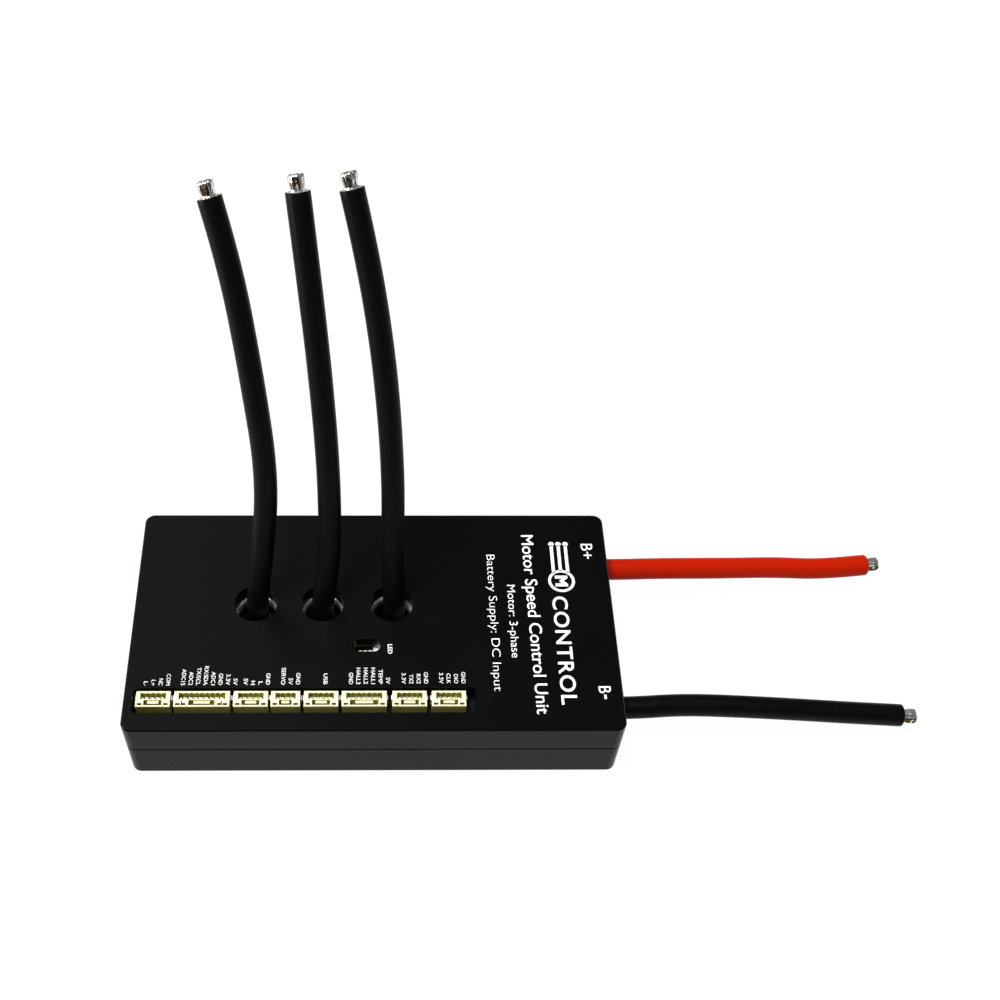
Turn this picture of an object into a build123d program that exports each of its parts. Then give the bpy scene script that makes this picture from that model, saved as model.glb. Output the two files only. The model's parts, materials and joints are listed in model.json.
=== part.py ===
from build123d import *
import os
from math import pi, radians, tan

# Electronic speed controller: a two-shell machined aluminium case that holds an
# aluminium-core power board and a smaller control board.  Eight small signal
# headers look out of a slot in the cover, three phase wires rise through round
# holes in it, and two battery wires leave through the end wall.
#
# Millimetres.  The origin is the centre of the case's underside: +X runs along
# the length towards the battery wires, +Y away from the header edge, +Z up.

os.makedirs("parts", exist_ok=True)

# ---- Case ----
CASE_LENGTH = 118.0
CASE_WIDTH = 63.5
CASE_HEIGHT = 20.3
CORNER_RADIUS = 2.4
JOINT_HEIGHT = 11.2         # where the two shells meet
WALL = 1.6
CAVITY_CORNER_RADIUS = 0.7
FLOOR = 3.0
ROOF = 3.4
OUTER_EDGE_BREAK = 0.3
JOINT_EDGE_BREAK = 0.25
LIP_HEIGHT = 1.0
LIP_THICKNESS = 0.7
LIP_GAP = 0.1
LIP_CORNER_RADIUS = 1.3

# ---- Case screws, put in from underneath ----
SCREW_PLACES = [(-54.5, -28.6), (54.5, -28.6), (54.5, 28.6), (-54.5, 28.6)]
BOSS_LENGTH = 6.0
BOSS_DEPTH = 3.0            # from the inner wall
SCREW_RADIUS = 1.0          # M2
SCREW_LENGTH = 14.0
SCREW_HEAD_RADIUS = 1.9
SCREW_HEAD_HEIGHT = 1.2
SCREW_CLEARANCE = 0.1
SCREW_INSET = 0.1           # of the head, below the underside
SOCKET_RADIUS = 0.75        # hexagonal socket, across its corners / 2
SOCKET_DEPTH = 0.8
THREAD_DEPTH = 5.2          # bore in the cover, up from the joint
BOSS_OVERLAP = 0.5          # how far a boss runs into the wall behind it
BLIND_FLOOR = 1.0           # metal left under the power board's screw bores

# ---- Openings in the cover ----
SLOT_X = (-56.9, 24.0)
SLOT_Y = (-26.9, -20.1)
SLOT_CORNER_RADIUS = 1.25
WIRE_HOLE_RADIUS = 5.3
WIRE_HOLE_X = (-29.3, -12.9, 4.2)
WIRE_HOLE_Y = 3.95
LIGHT_SLOT_CENTRE = (-1.9, -8.3)
LIGHT_SLOT_LENGTH = 6.8
LIGHT_SLOT_WIDTH = 3.5

# ---- Boards ----
PAD_THICKNESS = 0.5
BOARD_THICKNESS = 1.6
POWER_BOARD_SIZE = (112.5, 52.5)
POWER_BOARD_SCREWS = [(x, y) for x in (-53.0, 21.6, 53.0) for y in (-23.4, 23.4)]
CONTROL_BOARD_X = (-56.8, 24.5)
CONTROL_BOARD_Y = (-29.0, 12.1)
CONTROL_BOARD_TOP = 15.45
CONTROL_BOARD_SCREWS = [(x, y) for x in (-53.9, 21.8) for y in (-17.2, 9.2)]
BOSS_NOTCH = (7.0, 4.4)     # cut out of the control board's corner, round a screw boss
EYELET_RADIUS = 4.75        # the opening that each phase wire passes through
EYELET_FLANGE_RADIUS = 6.0
EYELET_BEAD = (5.15, 0.35)  # radius of the rolled lip, and of its section
EYELET_THICKNESS = 0.2
SPACER_RADIUS = 2.0
PAN_HEAD_RADIUS = 1.8
PAN_HEAD_HEIGHT = 1.3
PAN_HEAD_ROUNDING = 0.6

# ---- Parts on the boards: length, width, height ----
MOSFET_BODY = (9.9, 10.4, 2.3)
MOSFET_TAB = (9.7, 11.7, 0.5)
MOSFET_BODY_OFFSET = 0.6    # the body sits towards the end without feet
MOSFET_FEET = 7
MOSFET_FOOT_GAP = (0.5, 1.0)
MOSFET_FOOT_PITCH = 1.2
MOSFET_PITCH = 11.0
MOSFET_FIRST_X = -42.5
MOSFET_ROWS = (17.5, -8.5)
SHUNT = (6.4, 3.2, 1.0)
SHUNT_ARCH = (3.0, 0.3)
SHUNT_PLACES = [(-37.0, -18.6), (-15.0, -18.6), (7.0, -18.6)]
CAN_RADIUS = 5.0
CAN_LENGTH = 14.0
CAN_START_X = 25.5
CAN_PLACES_Y = (-21.0, -10.5, 0.0, 10.5, 21.0)
CAN_LEG_RADIUS = 0.4
CAN_LEG_SPREAD = 2.5        # from the can's axis
CAN_LEG_REACH = 0.9         # from the can's end to the upright part of the leg
CHIP_CAPACITOR = (2.2, 1.6, 1.5)
CHIP_CAPACITOR_END = (0.5, 1.66, 1.56)
CHIP_CAPACITOR_PITCH = 5.5
CHIP_CAPACITOR_ROW = (-45.0, 9.9, 12)   # first x, y, number
LINK_HEADER = (26.0, 2.4)
LINK_HEADER_PLACE = (-15.0, -23.4)
DRIVER_CHIP = (5.0, 5.0, 0.9)
SMALL_CHIP = (4.9, 3.9, 1.3)
SMALL_CHIP_LEG = (0.4, 1.4, 0.25)
CONTROLLER_SIDE = 10.0
CONTROLLER_HEIGHT = 1.2
CONTROLLER_LEGS = 16        # on each side
CONTROLLER_LEG = (0.25, 1.2, 0.2)
CRYSTAL = (3.2, 5.0, 1.0)
INDUCTOR = (6.0, 6.0, 1.3)
STATUS_LED = (0.95, 0.75, 0.45)
STATUS_LED_X = (-3.45, -2.25, -1.05)
STATUS_LED_Y = -7.3

# ---- Signal headers, 1.25 mm pitch, top entry ----
PITCH = 1.25
HEADER_ENDS = 4.4           # body length beyond the outer pins, both ends together
HEADER_DEPTH = 4.25
HEADER_HEIGHT = 4.0
HEADER_Y = -22.6
HEADER_FLOOR = 1.0
HEADER_EDGE_BREAK = 0.08
HEADER_BACK_WALL = 0.55
PIN_CAVITY_ENDS = 2.1       # length of the two end walls together
PIN_CAVITY_DEPTH = 1.25     # as far as the scallops' centres
SCALLOP_RADIUS = 0.42
RIB_RADIUS = 0.2
KEYWAY = (0.45, 1.65)       # at both ends of the pin cavity
LATCH_RECESS_START = 2.45   # from the header's back
LATCH_RECESS_WIDTH = 1.4
LATCH_RECESS_DEPTH = 2.6
LATCH_LEDGE = (0.62, 0.75)  # share of the recess's length, and width
LATCH_LEDGE_DROP = 0.4      # below the rim
RELIEF_SLOT = (1.1, 0.6, 3.0)
RELIEF_SLOT_FROM_BACK = 3.57
RELIEF_SLOT_FROM_END = 1.0
CORNER_NOTCH_FROM_END = 2.3 # the widest header has two L-shaped slots more
CORNER_NOTCH_LEG = (0.3, 1.2)
PIN_SIDE = 0.45
PIN_FROM_BACK = 1.3
PIN_DROP = 0.9              # the pins' tops below the rim
TAB_THICKNESS = 0.28
TAB_WIDTH = 1.2
TAB_DROP = 1.0
# name, number of pins, centre along the case
HEADERS = [
    ("power_switch", 4, -52.2),
    ("sensor", 8, -40.7),
    ("can", 4, -29.2),
    ("servo", 3, -21.0),
    ("usb", 4, -12.6),
    ("hall", 6, -2.4),
    ("bluetooth", 4, 8.35),
    ("debug", 4, 17.65),
]

# ---- Wires ----
INSULATION_RADIUS = 2.75
STRAND_RADIUS = 1.55        # the bundle of copper strands
TINNED_RADIUS = 1.8         # where solder has soaked into the bared end
SLEEVE_GAP = 0.05
PHASE_TIP_LENGTH = 3.5
BATTERY_TIP_LENGTH = 3.6
BATTERY_WIRE_Y = 20.7
BATTERY_HOLE_RADIUS = 3.15
PHASE_CUP_RADIUS = 3.8
PHASE_CUP_HEIGHT = 5.0
CUP_FLOOR = 0.5
BATTERY_POST = (8.0, 7.0, 8.8)
BATTERY_POST_X = 46.2
BATTERY_BORE_DEPTH = 6.0
CUP_CLEARANCE = 0.1

# Routes of the insulation, from the solder terminal to the stripped end.
PHASE_ROUTES = {
    "phase_a": [
        (-29.1, 4.2, 11.1), (-29.1, 4.2, 20.5), (-27.1, 8.1, 32.6), (-24.6, 16.1, 53.6),
        (-27.2, 26.8, 76.7), (-30.6, 38.1, 97.7), (-34.4, 45.6, 110.0),
    ],
    "phase_b": [
        (-13.0, 4.2, 11.1), (-13.0, 4.2, 20.5), (-10.7, 8.1, 32.6), (-10.4, 16.1, 53.6),
        (-11.9, 26.8, 76.7), (-14.2, 38.1, 97.7), (-15.9, 46.2, 111.1),
    ],
    "phase_c": [
        (4.9, 4.2, 11.1), (4.9, 4.2, 20.5), (4.3, 8.1, 32.6), (4.5, 16.1, 53.6),
        (2.7, 26.8, 76.7), (-0.8, 38.1, 97.7), (-4.6, 46.6, 111.6),
    ],
}
BATTERY_ROUTES = {
    "battery_positive": [
        (51.0, 20.7, 11.2), (62.0, 20.7, 11.2), (75.1, 21.3, 11.0), (90.3, 21.8, 10.3),
        (105.0, 23.1, 9.0), (118.7, 23.1, 8.0), (130.3, 25.0, 7.4),
    ],
    "battery_negative": [
        (51.0, -20.7, 11.2), (62.0, -20.7, 11.2), (75.1, -19.6, 11.0), (90.3, -19.8, 10.3),
        (105.0, -20.0, 9.0), (118.7, -20.4, 8.0), (129.6, -20.7, 7.4),
    ],
}

# ---- Worked out from the sizes above ----
CAVITY_LENGTH = CASE_LENGTH - 2 * WALL
CAVITY_WIDTH = CASE_WIDTH - 2 * WALL
CAVITY_TOP = CASE_HEIGHT - ROOF
POWER_BOARD_BOTTOM = FLOOR + PAD_THICKNESS
POWER_BOARD_TOP = POWER_BOARD_BOTTOM + BOARD_THICKNESS
CONTROL_BOARD_BOTTOM = CONTROL_BOARD_TOP - BOARD_THICKNESS
HEADER_TOP = CONTROL_BOARD_TOP + HEADER_HEIGHT

ON_BASE = (Align.CENTER, Align.CENTER, Align.MIN)


# ---------------------------------------------------------------- helpers
def block(length, width, height, x, y, z):
    """A box centred on x, y that stands on z."""
    return Pos(x, y, z) * Box(length, width, height, align=ON_BASE)


def rod(radius, height, x, y, z):
    """An upright cylinder that stands on z."""
    return Pos(x, y, z) * Cylinder(radius, height, align=ON_BASE)


def cone(bottom_radius, top_radius, height, x, y, z):
    return Pos(x, y, z) * Cone(bottom_radius, top_radius, height, align=ON_BASE)


def rounded_slab(length, width, height, radius, x=0.0, y=0.0, z=0.0):
    outline = Pos(x, y, z) * RectangleRounded(length, width, radius)
    return extrude(outline, height)


def save(name, *solids):
    """Write one node: a single solid, or a group of separate identical ones."""
    shape = solids[0] if len(solids) == 1 else Compound(children=list(solids))
    export_step(shape, f"parts/{name}.step")


def edges_at(shape, height):
    """The edges that lie wholly at one height."""
    return shape.edges().filter_by_position(Axis.Z, height - 0.01, height + 0.01)


# ---------------------------------------------------------------- case
def screw_bosses(bottom, top):
    """Pillars on the long walls, one at each case screw."""
    inner_wall = CAVITY_WIDTH / 2
    bosses = []
    for x, y in SCREW_PLACES:
        side = 1 if y > 0 else -1
        centre = side * (inner_wall - (BOSS_DEPTH - BOSS_OVERLAP) / 2)
        bosses.append(block(BOSS_LENGTH, BOSS_DEPTH + BOSS_OVERLAP, top - bottom, x, centre, bottom))
    return bosses


def battery_wire_bores():
    """Round holes through the end wall, half in each shell."""
    bores = []
    for y in (-BATTERY_WIRE_Y, BATTERY_WIRE_Y):
        place = Pos(CASE_LENGTH / 2, y, JOINT_HEIGHT) * Rot(0, 90, 0)
        bores.append(place * Cylinder(BATTERY_HOLE_RADIUS, 4 * WALL))
    return bores


def lip_ring(bottom, height, outer_inset):
    """The strip just outside the cavity, used for the lip and for its rebate."""
    outer = rounded_slab(CASE_LENGTH - 2 * outer_inset, CASE_WIDTH - 2 * outer_inset,
                         height, LIP_CORNER_RADIUS, z=bottom)
    inner = rounded_slab(CAVITY_LENGTH, CAVITY_WIDTH, height, CAVITY_CORNER_RADIUS, z=bottom)
    return outer - inner


def make_base_shell():
    shell = rounded_slab(CASE_LENGTH, CASE_WIDTH, JOINT_HEIGHT, CORNER_RADIUS)
    shell = chamfer(edges_at(shell, 0), OUTER_EDGE_BREAK)
    shell = chamfer(edges_at(shell, JOINT_HEIGHT), JOINT_EDGE_BREAK)
    depth = JOINT_HEIGHT - FLOOR
    cavity = rounded_slab(CAVITY_LENGTH, CAVITY_WIDTH, depth, CAVITY_CORNER_RADIUS, z=FLOOR)
    for boss in screw_bosses(FLOOR, JOINT_HEIGHT):
        cavity -= boss
    shell -= cavity
    shell += lip_ring(JOINT_HEIGHT, LIP_HEIGHT, WALL - LIP_THICKNESS)
    for x, y in SCREW_PLACES:
        shell -= rod(SCREW_RADIUS + SCREW_CLEARANCE, JOINT_HEIGHT, x, y, 0)
        shell -= cone(SCREW_HEAD_RADIUS + 2 * SCREW_CLEARANCE, SCREW_RADIUS + SCREW_CLEARANCE,
                      SCREW_HEAD_HEIGHT + SCREW_CLEARANCE, x, y, 0)
    for x, y in POWER_BOARD_SCREWS:
        shell -= rod(SCREW_RADIUS, FLOOR - BLIND_FLOOR, x, y, BLIND_FLOOR)
    for bore in battery_wire_bores():
        shell -= bore
    return shell


def make_top_cover():
    height = CASE_HEIGHT - JOINT_HEIGHT
    cover = rounded_slab(CASE_LENGTH, CASE_WIDTH, height, CORNER_RADIUS, z=JOINT_HEIGHT)
    cover = chamfer(edges_at(cover, CASE_HEIGHT), OUTER_EDGE_BREAK)
    cover = chamfer(edges_at(cover, JOINT_HEIGHT), JOINT_EDGE_BREAK)
    cavity = rounded_slab(CAVITY_LENGTH, CAVITY_WIDTH, CAVITY_TOP - JOINT_HEIGHT,
                          CAVITY_CORNER_RADIUS, z=JOINT_HEIGHT)
    for boss in screw_bosses(JOINT_HEIGHT, CAVITY_TOP):
        cavity -= boss
    cover -= cavity
    cover -= lip_ring(JOINT_HEIGHT, LIP_HEIGHT + LIP_GAP, WALL - LIP_THICKNESS - LIP_GAP)
    for x, y in SCREW_PLACES:
        cover -= rod(SCREW_RADIUS, THREAD_DEPTH, x, y, JOINT_HEIGHT)
    for bore in battery_wire_bores():
        cover -= bore

    through = ROOF + 1.0
    below = CAVITY_TOP - 0.5
    slot_length = SLOT_X[1] - SLOT_X[0]
    slot_width = SLOT_Y[1] - SLOT_Y[0]
    cover -= rounded_slab(slot_length, slot_width, through, SLOT_CORNER_RADIUS,
                          sum(SLOT_X) / 2, sum(SLOT_Y) / 2, below)
    for x in WIRE_HOLE_X:
        cover -= rod(WIRE_HOLE_RADIUS, through, x, WIRE_HOLE_Y, below)
    light_slot = Pos(*LIGHT_SLOT_CENTRE, below) * SlotOverall(LIGHT_SLOT_LENGTH, LIGHT_SLOT_WIDTH)
    cover -= extrude(light_slot, through)
    return cover


def countersunk_screw(x, y):
    """A case screw: cone head flush with the underside, hexagonal socket."""
    head = cone(SCREW_HEAD_RADIUS, SCREW_RADIUS, SCREW_HEAD_HEIGHT, x, y, SCREW_INSET)
    shank = rod(SCREW_RADIUS, SCREW_LENGTH, x, y, SCREW_INSET)
    socket = extrude(Pos(x, y, SCREW_INSET) * RegularPolygon(SOCKET_RADIUS, 6), SOCKET_DEPTH)
    return head + shank - socket


def pan_head_screw(x, y, seat, shank_length):
    """A board screw: domed head above its seat, threaded shank below it."""
    head = rod(PAN_HEAD_RADIUS, PAN_HEAD_HEIGHT, x, y, seat)
    head = fillet(edges_at(head, seat + PAN_HEAD_HEIGHT), PAN_HEAD_ROUNDING)
    shank = rod(SCREW_RADIUS, shank_length, x, y, seat - shank_length)
    socket_place = Pos(x, y, seat + PAN_HEAD_HEIGHT - SOCKET_DEPTH)
    socket = extrude(socket_place * RegularPolygon(SOCKET_RADIUS, 6), SOCKET_DEPTH)
    return head + shank - socket


# ---------------------------------------------------------------- boards
def make_thermal_pad():
    pad = block(POWER_BOARD_SIZE[0] - 1, POWER_BOARD_SIZE[1] - 1, PAD_THICKNESS, 0, 0, FLOOR)
    for x, y in POWER_BOARD_SCREWS:
        pad -= rod(SCREW_RADIUS + 0.5, PAD_THICKNESS, x, y, FLOOR)
    return pad


def make_power_board():
    board = rounded_slab(*POWER_BOARD_SIZE, BOARD_THICKNESS, 1.0, z=POWER_BOARD_BOTTOM)
    for x, y in POWER_BOARD_SCREWS:
        board -= rod(SCREW_RADIUS + SCREW_CLEARANCE, BOARD_THICKNESS, x, y, POWER_BOARD_BOTTOM)
    return board


def make_control_board():
    length = CONTROL_BOARD_X[1] - CONTROL_BOARD_X[0]
    width = CONTROL_BOARD_Y[1] - CONTROL_BOARD_Y[0]
    board = rounded_slab(length, width, BOARD_THICKNESS, 0.8, sum(CONTROL_BOARD_X) / 2,
                         sum(CONTROL_BOARD_Y) / 2, CONTROL_BOARD_BOTTOM)
    # a notch that clears the case's screw boss
    boss_x, _ = SCREW_PLACES[0]
    board -= block(*BOSS_NOTCH, BOARD_THICKNESS, boss_x, CONTROL_BOARD_Y[0], CONTROL_BOARD_BOTTOM)
    for x, y in CONTROL_BOARD_SCREWS:
        board -= rod(SCREW_RADIUS + SCREW_CLEARANCE, BOARD_THICKNESS, x, y, CONTROL_BOARD_BOTTOM)
    for x in WIRE_HOLE_X:
        board -= rod(EYELET_RADIUS + EYELET_THICKNESS, BOARD_THICKNESS, x, WIRE_HOLE_Y,
                     CONTROL_BOARD_BOTTOM)
    return board


def eyelet(x):
    """A tinned ring that lines one opening of the control board, with a rolled lip."""
    barrel = rod(EYELET_RADIUS + EYELET_THICKNESS, BOARD_THICKNESS, x, WIRE_HOLE_Y,
                 CONTROL_BOARD_BOTTOM)
    flange = rod(EYELET_FLANGE_RADIUS, EYELET_THICKNESS, x, WIRE_HOLE_Y, CONTROL_BOARD_TOP)
    height = BOARD_THICKNESS + EYELET_THICKNESS
    ring = barrel + flange - rod(EYELET_RADIUS, height, x, WIRE_HOLE_Y, CONTROL_BOARD_BOTTOM)
    return ring + Pos(x, WIRE_HOLE_Y, CONTROL_BOARD_TOP + EYELET_BEAD[1]) * Torus(*EYELET_BEAD)


def spacer(x, y):
    height = CONTROL_BOARD_BOTTOM - POWER_BOARD_TOP
    outline = Pos(x, y, POWER_BOARD_TOP) * RegularPolygon(SPACER_RADIUS, 6)
    return extrude(outline, height) - rod(SCREW_RADIUS, height - 2, x, y, POWER_BOARD_TOP + 2)


# ---------------------------------------------------------------- power stage
def mosfet(x, y):
    """A leadless power package: plastic body on a metal tab with a row of feet."""
    body = block(*MOSFET_BODY, x, y + MOSFET_BODY_OFFSET, POWER_BOARD_TOP)
    body = chamfer(edges_at(body, POWER_BOARD_TOP + MOSFET_BODY[2]), 0.25)
    package = body + block(*MOSFET_TAB, x, y, POWER_BOARD_TOP)
    for i in range(MOSFET_FEET):
        gap_x = x + MOSFET_FOOT_PITCH * (i - (MOSFET_FEET - 1) / 2)
        gap_y = y - (MOSFET_TAB[1] - MOSFET_FOOT_GAP[1]) / 2
        package -= block(*MOSFET_FOOT_GAP, MOSFET_TAB[2], gap_x, gap_y, POWER_BOARD_TOP)
    return package


def shunt(x, y):
    """A current-sense resistor: a bridge of metal with its middle raised."""
    span, rise = SHUNT_ARCH
    return block(*SHUNT, x, y, POWER_BOARD_TOP) - block(span, SHUNT[1], rise, x, y, POWER_BOARD_TOP)


def phase_cup(x, y):
    """A copper solder cup that holds the end of one phase wire."""
    cup = rod(PHASE_CUP_RADIUS, PHASE_CUP_HEIGHT, x, y, POWER_BOARD_TOP)
    cup = chamfer(edges_at(cup, POWER_BOARD_TOP + PHASE_CUP_HEIGHT), 0.4)
    return cup - rod(STRAND_RADIUS + CUP_CLEARANCE, PHASE_CUP_HEIGHT, x, y,
                     POWER_BOARD_TOP + CUP_FLOOR)


def battery_post(y):
    """A copper block with a level bore that holds the end of one battery wire."""
    post = block(*BATTERY_POST, BATTERY_POST_X, y, POWER_BOARD_TOP)
    post = chamfer(edges_at(post, POWER_BOARD_TOP + BATTERY_POST[2]), 0.5)
    mouth = BATTERY_POST_X + BATTERY_POST[0] / 2
    place = Pos(mouth - BATTERY_BORE_DEPTH / 2, y, JOINT_HEIGHT) * Rot(0, 90, 0)
    return post - place * Cylinder(STRAND_RADIUS + CUP_CLEARANCE, BATTERY_BORE_DEPTH)


def bulk_capacitor(y):
    """An electrolytic can lying along the case, with two legs down to the board."""
    centre_height = POWER_BOARD_TOP + CAN_RADIUS + 0.1
    lying = Rot(0, 90, 0)
    can = Pos(CAN_START_X + CAN_LENGTH / 2, y, centre_height) * lying * Cylinder(CAN_RADIUS, CAN_LENGTH)
    can = fillet(can.edges(), 0.6)
    can -= Pos(CAN_START_X + 2.2, y, centre_height) * lying * Torus(CAN_RADIUS + 0.1, 0.5)
    leg_x = CAN_START_X - CAN_LEG_REACH
    for leg_y in (y - CAN_LEG_SPREAD, y + CAN_LEG_SPREAD):
        level_place = Pos(leg_x + 0.6, leg_y, centre_height) * lying
        can += level_place * Cylinder(CAN_LEG_RADIUS, 2 * CAN_LEG_REACH)
        can += rod(CAN_LEG_RADIUS, centre_height - POWER_BOARD_TOP, leg_x, leg_y, POWER_BOARD_TOP)
    return can


def chip_capacitor(x, y):
    body = block(*CHIP_CAPACITOR, x, y, POWER_BOARD_TOP)
    reach = (CHIP_CAPACITOR[0] + CHIP_CAPACITOR_END[0]) / 2 - 0.05
    ends = [block(*CHIP_CAPACITOR_END, x + reach * side, y, POWER_BOARD_TOP) for side in (-1, 1)]
    return body + ends


# ---------------------------------------------------------------- control board parts
def make_microcontroller(x, y, pitch=0.5):
    """A square chip with legs on all four sides."""
    chip = block(CONTROLLER_SIDE, CONTROLLER_SIDE, CONTROLLER_HEIGHT - 0.1, x, y,
                 CONTROL_BOARD_TOP + 0.1)
    chip = chamfer(edges_at(chip, CONTROL_BOARD_TOP + CONTROLLER_HEIGHT), 0.2)
    foot = block(*CONTROLLER_LEG, 0, 0, 0)
    feet = []
    for quarter in range(4):
        for i in range(CONTROLLER_LEGS):
            along = (i - (CONTROLLER_LEGS - 1) / 2) * pitch
            turned = Rot(0, 0, 90 * quarter) * Pos(along, CONTROLLER_SIDE / 2 + 0.4, 0) * foot
            feet.append(Pos(x, y, CONTROL_BOARD_TOP) * turned)
    return chip + feet


def flat_chip(size, x, y):
    chip = block(*size, x, y, CONTROL_BOARD_TOP)
    return chamfer(edges_at(chip, CONTROL_BOARD_TOP + size[2]), 0.15)


def two_row_chip(x, y, legs=4, pitch=1.27):
    """A chip with a row of legs along each long side."""
    reach = SMALL_CHIP[1] / 2 + 0.4
    feet = [block(*SMALL_CHIP_LEG, x + (i - (legs - 1) / 2) * pitch, y + side * reach,
                  CONTROL_BOARD_TOP) for i in range(legs) for side in (-1, 1)]
    return flat_chip(SMALL_CHIP, x, y) + feet


def make_inductor(x, y):
    length, width, height = INDUCTOR
    coil = rounded_slab(length, width, height, 1.2, x, y, CONTROL_BOARD_TOP)
    return chamfer(edges_at(coil, CONTROL_BOARD_TOP + height), 0.3)


def status_led(x):
    body = block(*STATUS_LED, x, STATUS_LED_Y, CONTROL_BOARD_TOP)
    return fillet(edges_at(body, CONTROL_BOARD_TOP + STATUS_LED[2]), 0.12)


# ---------------------------------------------------------------- signal headers
def header_length(pins):
    return PITCH * (pins - 1) + HEADER_ENDS


def latch_recess_length(pins):
    """The recess for the plug's latch grows with the pin count, up to a limit."""
    return min(PITCH * (pins - 1) + 0.5, 6.8) if pins < 8 else 6.2


def pin_places(pins, x):
    return [x + (i - (pins - 1) / 2) * PITCH for i in range(pins)]


def pin_cavity(pins, x, back, floor, height):
    """Comb-edged cavity: a scallop in front of every pin, a small rib behind it."""
    length = header_length(pins) - PIN_CAVITY_ENDS
    cavity_back = back - HEADER_BACK_WALL
    cavity = block(length, PIN_CAVITY_DEPTH, height, x, cavity_back - PIN_CAVITY_DEPTH / 2, floor)
    for side in (-1, 1):
        keyway_x = x + side * (length - KEYWAY[0]) / 2
        cavity += block(*KEYWAY, height, keyway_x, cavity_back - KEYWAY[1] / 2, floor)
    for pin_x in pin_places(pins, x):
        cavity += rod(SCALLOP_RADIUS, height, pin_x, cavity_back - PIN_CAVITY_DEPTH, floor)
        cavity -= rod(RIB_RADIUS, height, pin_x, cavity_back, floor)
    return cavity


def latch_recess(pins, x, back):
    """The recess in front of the pins, with a ledge along the middle of its back."""
    length = latch_recess_length(pins)
    bottom = HEADER_TOP - LATCH_RECESS_DEPTH
    recess = block(length, LATCH_RECESS_WIDTH, LATCH_RECESS_DEPTH, x,
                   back - LATCH_RECESS_START - LATCH_RECESS_WIDTH / 2, bottom)
    share, width = LATCH_LEDGE
    return recess - block(length * share, width, LATCH_RECESS_DEPTH - LATCH_LEDGE_DROP, x,
                          back - LATCH_RECESS_START - width / 2, bottom)


def relief_slots(pins, x, back):
    """Small slots beside the recess, with two L-shaped ones more on the widest header."""
    half = header_length(pins) / 2
    slot_y = back - RELIEF_SLOT_FROM_BACK
    bottom = HEADER_TOP - RELIEF_SLOT[2]
    slots = [block(*RELIEF_SLOT, x + side * (half - RELIEF_SLOT_FROM_END), slot_y, bottom)
             for side in (-1, 1)]
    if pins == 8:
        leg_width, leg_length = CORNER_NOTCH_LEG
        for side in (-1, 1):
            foot_x = x + side * (half - CORNER_NOTCH_FROM_END)
            leg_x = foot_x + side * (RELIEF_SLOT[0] - leg_width) / 2
            leg_y = slot_y + (leg_length - RELIEF_SLOT[1]) / 2
            slots.append(block(*RELIEF_SLOT, foot_x, slot_y, bottom))
            slots.append(block(leg_width, leg_length, RELIEF_SLOT[2], leg_x, leg_y, bottom))
    return slots


def header_housing(pins, x):
    """Top-entry housing: pin cavity at the back, latch recess in front."""
    back = HEADER_Y + HEADER_DEPTH / 2
    housing = block(header_length(pins), HEADER_DEPTH, HEADER_HEIGHT, x, HEADER_Y,
                    CONTROL_BOARD_TOP)
    housing = chamfer(edges_at(housing, HEADER_TOP), HEADER_EDGE_BREAK)
    housing -= pin_cavity(pins, x, back, CONTROL_BOARD_TOP + HEADER_FLOOR,
                          HEADER_HEIGHT - HEADER_FLOOR)
    housing -= latch_recess(pins, x, back)
    for slot in relief_slots(pins, x, back):
        housing -= slot
    for pin_x in pin_places(pins, x):
        housing -= block(PIN_SIDE, PIN_SIDE, HEADER_FLOOR, pin_x, back - PIN_FROM_BACK,
                         CONTROL_BOARD_TOP)
    return housing


def header_pins(pins, x):
    back = HEADER_Y + HEADER_DEPTH / 2
    contacts = []
    for pin_x in pin_places(pins, x):
        pin = block(PIN_SIDE, PIN_SIDE, HEADER_HEIGHT - PIN_DROP, pin_x, back - PIN_FROM_BACK,
                    CONTROL_BOARD_TOP)
        contacts.append(chamfer(edges_at(pin, HEADER_TOP - PIN_DROP), 0.12))
    return contacts


def header_tabs(pins, x):
    """Solder tabs on both ends of a header."""
    offset = (header_length(pins) + TAB_THICKNESS) / 2
    tab_y = HEADER_Y + HEADER_DEPTH / 2 - PIN_FROM_BACK
    return [block(TAB_THICKNESS, TAB_WIDTH, HEADER_HEIGHT - TAB_DROP, x + side * offset, tab_y,
                  CONTROL_BOARD_TOP) for side in (-1, 1)]


# ---------------------------------------------------------------- wires
def corner_radii(points):
    """The largest tangent arc for each corner: 0.45 of the shorter run over tan(turn / 2)."""
    radii = []
    for before, corner, after in zip(points, points[1:], points[2:]):
        arriving = Vector(*corner) - Vector(*before)
        leaving = Vector(*after) - Vector(*corner)
        turn = radians(arriving.get_angle(leaving))
        radii.append(0.45 * min(arriving.length, leaving.length) / tan(turn / 2))
    return radii


def stretched(points, before, after):
    """The same route with its first and last runs made longer."""
    first = Vector(*points[0]) - (Vector(*points[1]) - Vector(*points[0])).normalized() * before
    last = Vector(*points[-1]) + (Vector(*points[-1]) - Vector(*points[-2])).normalized() * after
    return [first, *(Vector(*point) for point in points[1:-1]), last]


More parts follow.
